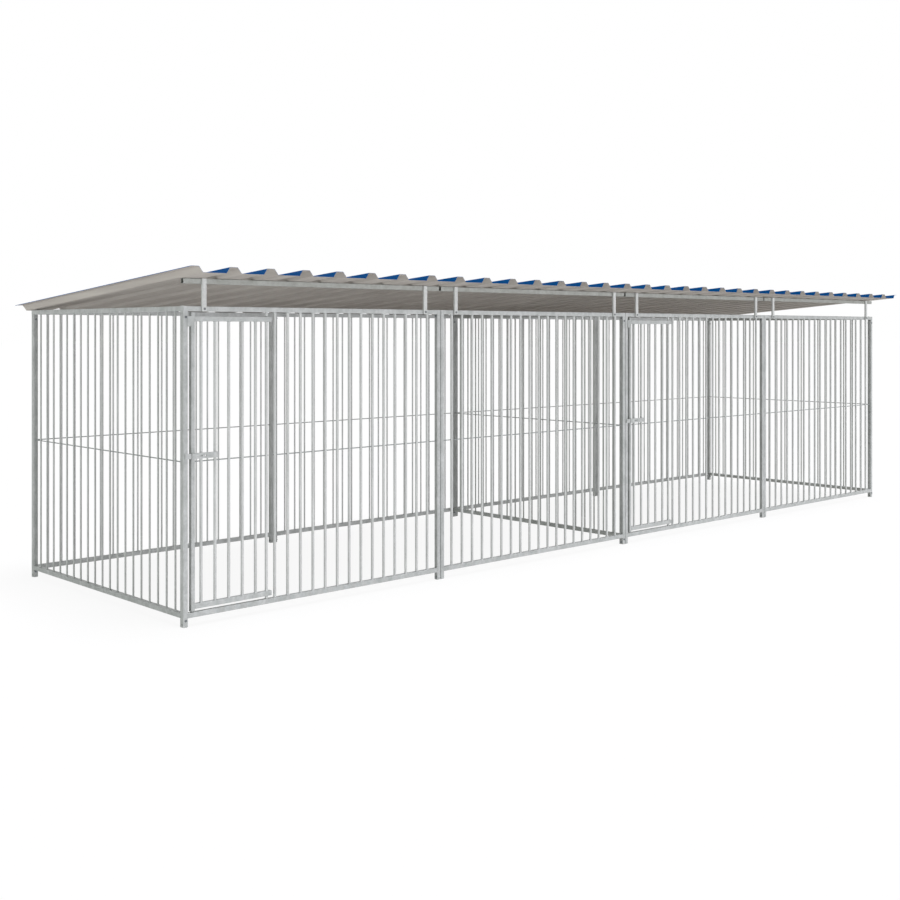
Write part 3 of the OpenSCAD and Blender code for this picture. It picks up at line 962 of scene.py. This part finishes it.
@dataclass
class Roof:
    """Eight trapezoidal sheets, blue above and taupe below, and the screws that hold them."""

    sizes: RunSizes
    sheets: int = 8
    ribs: int = 4
    sheet_t: float = 0.001
    rib_h: float = 0.035
    rib_top: float = 0.050
    rib_flank: float = 0.025
    lap_gap: float = 0.002
    lip_run: float = 0.0025
    lip_fall: float = 0.0030
    bend: float = 0.004
    rows: int = 36
    buckle: float = 0.0006
    buckle_mm: float = 450.0
    # Points of the upper and the lower skin that lie closer than this are one
    skin_merge: float = 0.00002
    screw_pans: tuple[int, ...] = (0, 2)
    washer_d: float = 0.016
    washer_t: float = 0.002
    # Heights of a screw's rim, of its cone's end, of the hexagon's foot and of its bevel
    rim_h: float = 0.0006
    cone_h: float = 0.0014
    hex_foot: float = 0.0015
    bevel_h: float = 0.0006
    screw_hex: float = 0.008
    screw_head: float = 0.005
    # Radii of the cone's end and of the crown as shares of the hexagon's
    cone_share: float = 1.25
    crown_share: float = 0.84
    # Radii of the seal's faces and belly as shares of the disc's, and the belly's share of its height
    seal_face: float = 0.9
    seal_belly: float = 0.97
    belly_h: float = 0.4

    @property
    def rib_pitch(self) -> float:
        """Distance between ribs."""
        width = self.sizes.run_l + self.sizes.over_left + self.sizes.over_right
        return (width - self.rib_top + self.lap_gap) / (self.sheets * self.ribs)

    @property
    def cover(self) -> float:
        """Width that one sheet covers."""
        return self.ribs * self.rib_pitch

    @property
    def slope_front(self) -> float:
        """Length of sheet in front of the purlin's rear edge."""
        return (self.sizes.over_front + self.sizes.tube) / math.cos(self.sizes.roof_pitch)

    @property
    def slope_rear(self) -> float:
        """Length of sheet behind the purlin's rear edge."""
        pitch, sizes = self.sizes.roof_pitch, self.sizes
        top = (self.rib_h + self.sheet_t) * math.sin(pitch)
        return (sizes.run_d - sizes.tube + sizes.over_rear - top) / math.cos(pitch)

    def tree(self) -> NodeTree:
        """Builds the tree of one sheet: a bent section, drawn out down the slope and given its thickness.

        Returns:
            The tree.
        """
        kinds = {"Ribs": "NodeSocketInt", "Rows": "NodeSocketInt"}
        lengths = ["Rib Pitch", "Rib Top", "Rib Flank", "Rib Height", "Lap Width", "Lip Run", "Lip Fall"]
        lengths += ["Bend", "Thickness", "Front", "Rear", "Buckle", "Roof Pitch"]
        kinds |= {label: "NodeSocketFloat" for label in lengths}
        kinds |= {"Place": "NodeSocketVector", "Upper": "NodeSocketMaterial", "Under": "NodeSocketMaterial"}
        tree, given = new_tree("trapezoid_sheet", kinds)
        port = given.outputs
        section = self.section(tree, port)
        size = add_node(tree, "GeometryNodeAttributeDomainSize", {"Geometry": section}, component="CURVE")
        grid = add_node(
            tree,
            "GeometryNodeMeshGrid",
            {"Vertices X": size.outputs["Point Count"], "Vertices Y": port["Rows"]},
        )
        index = add_node(tree, "GeometryNodeInputIndex")
        column = add_node(tree, "ShaderNodeMath", {0: index, 1: port["Rows"]}, operation="DIVIDE")
        column = add_node(tree, "ShaderNodeMath", {0: column}, operation="FLOOR")
        row = add_node(tree, "ShaderNodeMath", {0: index, 1: port["Rows"]}, operation="MODULO")
        last = add_node(tree, "ShaderNodeMath", {0: port["Rows"], 1: 1.0}, operation="SUBTRACT")
        share = add_node(tree, "ShaderNodeMath", {0: row, 1: last}, operation="DIVIDE")
        front = add_node(tree, "ShaderNodeMath", {0: port["Front"], 1: -1.0}, operation="MULTIPLY")
        down = add_node(
            tree, "ShaderNodeMapRange", {"Value": share, "To Min": front, "To Max": port["Rear"]}, clamp=False
        )
        spot = add_node(
            tree,
            "GeometryNodeSampleIndex",
            {"Geometry": section, "Value": add_node(tree, "GeometryNodeInputPosition"), "Index": column},
            data_type="FLOAT_VECTOR",
            domain="POINT",
        )
        bend = add_node(tree, "ShaderNodeSeparateXYZ", {0: spot}).outputs
        drawn = add_node(tree, "ShaderNodeCombineXYZ", {"X": bend["X"], "Y": down, "Z": bend["Z"]})
        laid = add_node(tree, "GeometryNodeSetPosition", {"Geometry": grid, "Position": drawn})
        move = add_node(
            tree,
            "GeometryNodeTransform",
            {
                "Geometry": laid,
                "Translation": port["Place"],
                "Rotation": add_node(tree, "ShaderNodeCombineXYZ", {"X": port["Roof Pitch"]}),
            },
        )
        height = add_uneven(tree, per_metre(self.buckle_mm), 0.0, port["Buckle"])
        buckled = add_node(
            tree,
            "GeometryNodeSetPosition",
            {"Geometry": move, "Offset": add_node(tree, "ShaderNodeCombineXYZ", {"Z": height})},
        )
        thick = add_node(
            tree,
            "GeometryNodeExtrudeMesh",
            {"Mesh": buckled, "Offset Scale": port["Thickness"], "Individual": False},
            mode="FACES",
        )
        both = add_node(tree, "GeometryNodeJoinGeometry", {"Geometry": thick})
        fill(tree, both, {"Geometry": add_node(tree, "GeometryNodeFlipFaces", {"Mesh": buckled})})
        closed = add_node(
            tree, "GeometryNodeMergeByDistance", {"Geometry": both, "Distance": self.skin_merge}
        )
        skin = add_node(tree, "GeometryNodeRealizeInstances", {"Geometry": closed})
        backed = add_node(tree, "GeometryNodeSetMaterial", {"Geometry": skin, "Material": port["Under"]})
        shown = add_node(
            tree,
            "FunctionNodeBooleanMath",
            {0: thick.outputs["Top"], 1: thick.outputs["Side"]},
            operation="OR",
        )
        done = add_node(
            tree,
            "GeometryNodeSetMaterial",
            {"Geometry": backed, "Selection": shown, "Material": port["Upper"]},
        )
        add_node(tree, "NodeGroupOutput", {0: done})
        return tree

    def section(self, tree: NodeTree, port: NodeOutputs) -> Node:
        """Adds the section of a sheet: a lip, ribs and pans, and a last rib that lies under the next sheet.

        Args:
            tree: The sheet's tree.
            port: Outputs of its input node.

        Returns:
            The node whose curve is the section, with rounded bends.
        """
        # Corners of a rib with its pan, points of the lip and the last rib's top, tolerance of equal counts
        corners, ends, near = 4.0, 3.0, 0.1
        points = add_node(
            tree, "ShaderNodeMath", {0: port["Ribs"], 1: corners, 2: ends}, operation="MULTIPLY_ADD"
        )
        line = add_node(tree, "GeometryNodeMeshLine", {"Count": points})
        index = add_node(tree, "GeometryNodeInputIndex")
        order = add_node(tree, "ShaderNodeMath", {0: index, 1: 1.0}, operation="SUBTRACT")
        rib = add_node(tree, "ShaderNodeMath", {0: order, 1: corners}, operation="DIVIDE")
        rib = add_node(tree, "ShaderNodeMath", {0: rib}, operation="FLOOR")
        corner = add_node(tree, "ShaderNodeMath", {0: order, 1: corners}, operation="FLOORED_MODULO")
        is_last = add_node(tree, "ShaderNodeMath", {0: rib, 1: port["Ribs"], 2: near}, operation="COMPARE")
        is_lip = add_node(tree, "ShaderNodeMath", {0: index, 1: 0.0, 2: near}, operation="COMPARE")
        top_w = add_node(
            tree,
            "ShaderNodeMix",
            {"Factor": is_last, "A": port["Rib Top"], "B": port["Lap Width"]},
            data_type="FLOAT",
        )
        foot = add_node(tree, "ShaderNodeMath", {0: port["Rib Top"], 1: port["Rib Flank"]}, operation="ADD")
        rise = add_node(
            tree, "ShaderNodeMath", {0: port["Rib Pitch"], 1: port["Rib Flank"]}, operation="SUBTRACT"
        )
        # Corners 0 and 1 are the ends of the rib's crown, 2 and 3 those of the pan
        across = add_node(tree, "GeometryNodeIndexSwitch", data_type="FLOAT")
        level = add_node(tree, "GeometryNodeIndexSwitch", data_type="FLOAT")
        for switch in (across, level):
            switch.index_switch_items.new()
            switch.index_switch_items.new()
            fill(tree, switch, {0: corner})
        fill(tree, across, {2: top_w, 3: foot, 4: rise})
        drop = add_node(tree, "ShaderNodeMath", {0: is_last, 1: port["Thickness"]}, operation="MULTIPLY")
        high = add_node(tree, "ShaderNodeMath", {0: port["Rib Height"], 1: drop}, operation="SUBTRACT")
        fill(tree, level, {1: high, 2: high})
        x = add_node(
            tree, "ShaderNodeMath", {0: rib, 1: port["Rib Pitch"], 2: across}, operation="MULTIPLY_ADD"
        )
        lip_x = add_node(tree, "ShaderNodeMath", {0: port["Lip Run"], 1: -1.0}, operation="MULTIPLY")
        lip_z = add_node(
            tree, "ShaderNodeMath", {0: port["Rib Height"], 1: port["Lip Fall"]}, operation="SUBTRACT"
        )
        x = add_node(tree, "ShaderNodeMix", {"Factor": is_lip, "A": x, "B": lip_x}, data_type="FLOAT")
        z = add_node(tree, "ShaderNodeMix", {"Factor": is_lip, "A": level, "B": lip_z}, data_type="FLOAT")
        bent = add_node(
            tree,
            "GeometryNodeSetPosition",
            {"Geometry": line, "Position": add_node(tree, "ShaderNodeCombineXYZ", {"X": x, "Z": z})},
        )
        curve = add_node(tree, "GeometryNodeMeshToCurve", {"Mesh": bent})
        return add_node(
            tree,
            "GeometryNodeFilletCurve",
            {"Curve": curve, "Count": 3, "Radius": port["Bend"], "Limit Radius": True},
            mode="POLY",
        )

    def seats(self, lift: float) -> list[SetPlace]:
        """Seats of the roof screws.

        Args:
            lift: Height above the underside of the sheets.

        Returns:
            One seat for each screw, square to the slope.
        """
        sizes, pitch = self.sizes, self.sizes.roof_pitch
        half = sizes.tube / 2
        rows = (-half / math.cos(pitch), (sizes.run_d - sizes.tube - half) / math.cos(pitch))
        tilt = Matrix.Rotation(-pitch, 4, "X")
        foot = sizes.place(0.0, sizes.tube, sizes.panel_h + sizes.purlin_rise)
        seats = []
        for sheet in range(self.sheets):
            for pan in self.screw_pans:
                start = sheet * self.cover - sizes.over_left + pan * self.rib_pitch
                x = start + (self.rib_top + self.rib_pitch) / 2
                for y in rows:
                    point = foot + tilt @ Vector((x, y, lift))
                    seats.append(SetPlace(point, (-math.degrees(pitch), 0.0, 0.0)))
        return seats

    def build(self, repeater: Repeater, finishes: Finishes, under: Material, rubber: Material) -> None:
        """Lays the sheets and drives the screws.

        Args:
            repeater: Sets the screws.
            finishes: Material of each slot.
            under: Finish of the sheets' underside.
            rubber: Finish of the sealing washers.
        """
        sizes, tree = self.sizes, self.tree()
        for sheet in range(self.sheets):
            start = sheet * self.cover - sizes.over_left
            values = {
                "Ribs": self.ribs,
                "Rows": self.rows,
                "Rib Pitch": self.rib_pitch,
                "Rib Top": self.rib_top,
                "Rib Flank": self.rib_flank,
                "Rib Height": self.rib_h,
                "Lap Width": self.rib_top - self.lap_gap,
                "Lip Run": self.lip_run,
                "Lip Fall": self.lip_fall,
                "Bend": self.bend,
                "Thickness": self.sheet_t,
                "Front": self.slope_front,
                "Rear": self.slope_rear,
                "Buckle": self.buckle,
                "Roof Pitch": -sizes.roof_pitch,
                "Place": sizes.place(start, sizes.tube, sizes.panel_h + sizes.purlin_rise),
                "Upper": finishes[Slot.SHEET],
                "Under": under,
            }
            mesh = grow(tree, bpy.data.meshes.new("sheet"), values)
            node = f"roof_sheet_{sheet + 1}"
            add_piece(f"{node}_skin", mesh, Body.RUN, (node,))
        radius, crown = self.screw_hex / math.sqrt(3), self.screw_head
        disc = 0.5 * self.washer_d
        head = lathe(
            "screw",
            [
                (0.0, 0.0),
                (disc, 0.0),
                (disc, self.rim_h),
                (radius * self.cone_share, self.cone_h),
                (radius, self.hex_foot),
                (radius, crown - self.bevel_h),
                (radius * self.crown_share, crown),
                (0.0, crown),
            ],
            sides=24,
            hexagon=(4, 5),
        )
        seal_t = self.washer_t
        seats = self.seats(self.sheet_t + seal_t)
        screws = repeater.run("roof_screw_heads", head, seats, finishes[Slot.FASTENER], spin=math.pi)
        add_piece("roof_screw_heads", screws, Body.RUN, ("roof_screws",))
        face, belly = disc * self.seal_face, disc * self.seal_belly
        line = [(0.0, 0.0), (face, 0.0), (belly, self.belly_h * seal_t), (face, seal_t), (0.0, seal_t)]
        seal = smooth(lathe("seal", line, sides=20))
        seals = repeater.run("roof_screw_seals", seal, self.seats(self.sheet_t), rubber)
        add_piece("roof_screw_seals", seals, Body.RUN)


@dataclass
class FrameFasteners:
    """Hexagon bolts and nuts between posts, cross panels, rails and uprights."""

    sizes: RunSizes
    bolt_d: float = 0.008
    hex_w: float = 0.013
    head_h: float = 0.0053
    nut_h: float = 0.0065
    thread_out: float = 0.004
    thread_pitch: float = 0.00125
    thread_in: float = 0.002
    chamfer: float = 0.0009
    # Washer face under the head, and where the hexagon ends above it
    face_h: float = 0.0003
    hex_end: float = 0.0004
    # Play of the nut's bore round the shank, and the bevel at its mouth
    bore_gap: float = 0.0002
    bore_bevel: float = 0.0006
    # Radii of the crown and of the seat as shares of the hexagon's, and of the thread's root of the shank's
    crown_share: float = 0.83
    seat_share: float = 0.84
    root_share: float = 0.86
    head_gap: float = 0.004
    cross_step: float = 0.022
    upright_d: float = 0.015
    upright_x: tuple[float, ...] = (0.130, 1.850)

    @property
    def hex_r(self) -> float:
        """Radius of a hexagon at its corners."""
        return self.hex_w / math.sqrt(3)

    def bolt(self, grip: float) -> Mesh:
        """Bolt with a chamfered head, a washer face and a threaded end.

        Args:
            grip: Clamped length.

        Returns:
            The mesh, its head's seat at the origin and its thread along +Z.
        """
        top, radius, shank = -self.head_h, self.hex_r, self.bolt_d / 2
        crown, seat, root = radius * self.crown_share, radius * self.seat_share, shank * self.root_share
        line = [(0.0, top), (crown, top), (radius, top + self.chamfer), (radius, -self.hex_end)]
        line += [(seat, -self.face_h), (seat, 0.0), (shank, 0.0)]
        z, end = grip + self.nut_h - self.thread_in, grip + self.nut_h + self.thread_out
        while z < end - self.thread_pitch:
            line += [(shank, z), (root, z + self.thread_pitch / 2)]
            z += self.thread_pitch
        line += [(root, end), (0.0, end)]
        return sealed(lathe("bolt", line, sides=24, hexagon=(2, 3)))

    def nut(self, grip: float) -> Mesh:
        """Nut with both faces chamfered.

        Args:
            grip: Clamped length.

        Returns:
            The mesh, its seat at the grip's end.
        """
        low, top, radius, bore = grip, grip + self.nut_h, self.hex_r, self.bolt_d / 2 + self.bore_gap
        seat, crown = radius * self.seat_share, radius * self.crown_share
        line = [(bore, low), (seat, low), (radius, low + self.chamfer), (radius, top - self.chamfer)]
        line += [(crown, top), (bore + self.bore_bevel, top), (bore, top - self.bore_bevel), (bore, low)]
        return sealed(lathe("nut", line, sides=24, hexagon=(2, 3)))

    def joints(self) -> dict[str, tuple[float, list[SetPlace]]]:
        """Grip and seats of each kind of joint.

        Returns:
            By the joint's name: the clamped length and the seats of its bolts.
        """
        sizes = self.sizes
        low = sizes.foot - self.head_gap - self.cross_step - self.hex_r
        top = sizes.top_rail - self.head_gap - self.hex_r
        half = sizes.tube / 2
        panel, corner, upright = [], [], []
        for index in range(1, sizes.panels):
            for y in (half, sizes.run_d - half):
                for z in (low, top):
                    point = sizes.place(index * sizes.pitch - sizes.panel_gap - sizes.tube, y, z)
                    panel.append(SetPlace(point, (0.0, 90.0, 0.0)))
        for x in sizes.cross_lines:
            for z in (low + self.cross_step, top - self.cross_step):
                corner.append(SetPlace(sizes.place(x, 0.0, z), (-90.0, 0.0, 0.0)))
                corner.append(SetPlace(sizes.place(x, sizes.run_d, z), (90.0, 0.0, 0.0)))
        for index in range(sizes.panels):
            for x in self.upright_x:
                point = sizes.place(index * sizes.pitch + x, -self.upright_d, sizes.panel_h - half)
                upright.append(SetPlace(point, (-90.0, 0.0, 0.0)))
        return {
            "panel": (2 * sizes.tube + sizes.panel_gap, panel),
            "corner": (sizes.tube + sizes.flat, corner),
            "upright": (self.upright_d + sizes.tube, upright),
        }

    def build(self, repeater: Repeater, finishes: Finishes) -> None:
        """Sets the bolts and nuts.

        Args:
            repeater: Sets them.
            finishes: Material of each slot.
        """
        zinc = finishes[Slot.FASTENER]
        for joint, (grip, seats) in self.joints().items():
            for name, shape in ((f"{joint}_bolts", self.bolt(grip)), (f"{joint}_nuts", self.nut(grip))):
                mesh = repeater.run(name, shape, seats, zinc)
                add_piece(f"{name}_detailed", mesh, Body.RUN, (name,))


@dataclass(frozen=True)
class Lamp:
    """One distant light: its strength, colour, angular width, turn in degrees, and whether gloss shows it."""

    name: str
    strength: float
    tint: str
    spread: float
    turn: tuple[float, float, float]
    in_gloss: bool = False

    def hang(self) -> None:
        """Puts the light into the scene."""
        light = bpy.data.lights.new(self.name, "SUN")
        light.energy = self.strength
        light.color = linear(self.tint)[:3]
        light.angle = math.radians(self.spread)
        holder = bpy.data.objects.new(self.name, light)
        holder.rotation_euler = Euler([math.radians(a) for a in self.turn])
        holder.visible_glossy = self.in_gloss
        bpy.context.scene.collection.objects.link(holder)


@dataclass
class Studio:
    """White floor, soft light and the camera of the photograph."""

    sizes: RunSizes
    eye: tuple[float, float, float] = (-3.64, -6.10, 1.70)
    yaw: float = 43.2
    lens: float = 48.6
    sensor: float = 36.0
    drop: float = -0.1328
    far: float = 500.0
    floor_half: float = 150.0
    floor_drop: float = 0.001
    sky: float = 0.22
    sky_tint: str = "#EEF6EC"
    # The high light leaves the ground under the roof in shade, and the low ones reach the inner panels
    lamps: tuple[Lamp, ...] = (
        Lamp("high_key", 2.7, "#FBF8FF", 25.0, (10.0, 0.0, 30.0), True),
        Lamp("front_fill", 1.75, "#FBF8FF", 5.0, (87.5, 0.0, 0.0)),
        Lamp("left_fill", 0.45, "#F0F8EE", 5.0, (87.5, 0.0, -90.0)),
        Lamp("rear_fill", 0.5, "#FBF8FF", 5.0, (87.5, 0.0, 180.0)),
    )
    # Painted shade: under and behind the run the floor throws back a warm, dull light as if the roof shaded
    # it, and it is white where the eye sees it
    paper: str = "#F2F2F0"
    shade_tone: str = "#604E3E"
    shade_behind: float = 6.0
    shadow_share: float = 0.08

    def camera(self) -> None:
        """Puts up the camera, level, its picture shifted down."""
        lens = bpy.data.cameras.new("photo_camera")
        lens.sensor_width = self.sensor
        lens.sensor_fit = "HORIZONTAL"
        lens.lens = self.lens
        lens.shift_y = self.drop
        lens.clip_end = self.far
        camera = bpy.data.objects.new("photo_camera", lens)
        camera.location = self.sizes.place(*self.eye)
        camera.rotation_euler = Euler((math.radians(90), 0.0, math.radians(-self.yaw)))
        bpy.context.scene.collection.objects.link(camera)
        bpy.context.scene.camera = camera

    def seen(self, tree: NodeTree) -> Node:
        """Adds the share of rays that see the plain background: straight, in gloss or through glass."""
        path = add_node(tree, "ShaderNodeLightPath").outputs
        gloss = add_node(
            tree,
            "ShaderNodeMath",
            {0: path["Is Camera Ray"], 1: path["Is Glossy Ray"]},
            operation="MAXIMUM",
        )
        return add_node(
            tree, "ShaderNodeMath", {0: gloss, 1: path["Is Transmission Ray"]}, operation="MAXIMUM"
        )

    def world(self) -> None:
        """Makes a white world that lights the run at a plain level."""
        world = bpy.data.worlds.new("white_studio")
        world.use_nodes = True
        tree = world.node_tree
        tree.nodes.clear()
        light = add_node(tree, "ShaderNodeBackground", {"Color": linear(self.sky_tint), "Strength": self.sky})
        white = add_node(tree, "ShaderNodeBackground", {"Color": linear(WHITE), "Strength": 1.0})
        both = add_node(tree, "ShaderNodeMixShader", {0: self.seen(tree), 1: light, 2: white})
        add_node(tree, "ShaderNodeOutputWorld", {0: both})
        bpy.context.scene.world = world

    def floor(self) -> None:
        """Lays a white floor with painted shade under and behind the run, in the light it throws back, that
        keeps a faint shadow in the picture.
        """
        half = self.floor_half
        mesh = bpy.data.meshes.new("floor")
        corners = [(-half, -half, 0), (half, -half, 0), (half, half, 0), (-half, half, 0)]
        mesh.from_pydata(corners, [], [(0, 1, 2, 3)])
        material = bpy.data.materials.new("white_paper")
        material.use_nodes = True
        tree = material.node_tree
        tree.nodes.clear()
        low = self.sizes.place(0.0, 0.0, 0.0)
        high = self.sizes.place(self.sizes.run_l, self.sizes.run_d + self.shade_behind, 0.0)
        place = add_node(tree, "ShaderNodeTexCoord").outputs["Object"]
        off = add_node(tree, "ShaderNodeVectorMath", {0: place, 1: (low + high) / 2}, operation="SUBTRACT")
        away = add_node(tree, "ShaderNodeVectorMath", {0: off}, operation="ABSOLUTE")
        reach = add_node(tree, "ShaderNodeSeparateXYZ", {0: away})
        span = (high - low) / 2
        inside = [
            add_node(tree, "ShaderNodeMath", {0: reach.outputs[i], 1: span[i]}, operation="LESS_THAN")
            for i in (0, 1)
        ]
        under = add_node(tree, "ShaderNodeMath", {0: inside[0], 1: inside[1]}, operation="MULTIPLY")
        # Painted shade: a dark warm tone under and behind the run, seen only by bounced light
        lit = add_node(
            tree,
            "ShaderNodeMix",
            {"Factor": under, "A": linear(self.paper), "B": linear(self.shade_tone)},
            data_type="RGBA",
        )
        seen = self.seen(tree)
        tone = add_node(
            tree, "ShaderNodeMix", {"Factor": seen, "A": lit, "B": linear(WHITE)}, data_type="RGBA"
        )
        paper = add_node(tree, "ShaderNodeBsdfDiffuse", {"Color": tone})
        glow = add_node(tree, "ShaderNodeEmission", {"Color": linear(WHITE), "Strength": 1.0})
        share = add_node(tree, "ShaderNodeMath", {0: seen, 1: 1.0 - self.shadow_share}, operation="MULTIPLY")
        both = add_node(tree, "ShaderNodeMixShader", {0: share, 1: paper, 2: glow})
        add_node(tree, "ShaderNodeOutputMaterial", {0: both})
        mesh.materials.append(material)
        floor = bpy.data.objects.new("floor", mesh)
        floor.location = (0.0, 0.0, -self.floor_drop)
        bpy.context.scene.collection.objects.link(floor)

    def build(self) -> None:
        """Sets up the whole studio."""
        self.camera()
        self.world()
        self.floor()
        for lamp in self.lamps:
            lamp.hang()
        bpy.context.scene.view_settings.view_transform = "Standard"
        LOG.info("studio ready")


def write_sizes() -> None:
    """Brings the view layer up to date; no sizes are written.
    """
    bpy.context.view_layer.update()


def main() -> None:
    """Builds and dresses the run in the studio."""
    logging.basicConfig(level=logging.INFO, format="%(name)s: %(message)s")
    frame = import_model()
    sizes = RunSizes()
    Studio(sizes).build()
    finishes = {
        Slot.TUBE: GALVANISED_TUBE.material(),
        Slot.BAR: GALVANISED_BAR.material(),
        Slot.SHEET: ROOF_BLUE.material(),
        Slot.FASTENER: ZINC_PLATE.material(),
    }
    repeater = Repeater()
    panels = BarPanels(sizes)
    # The purlins' finish paints the shade under the eaves into their colour
    panels.build(frame["nodes"], repeater, finishes, DRAWN_ROD.material(), PURLIN_PAINTED_SHADE.material())
    Doors(panels).build(repeater, finishes)
    Roof(sizes).build(repeater, finishes, ROOF_BACK.material(), RubberFinish().material())
    FrameFasteners(sizes).build(repeater, finishes)
    write_sizes()


if __name__ == "__main__":
    main()
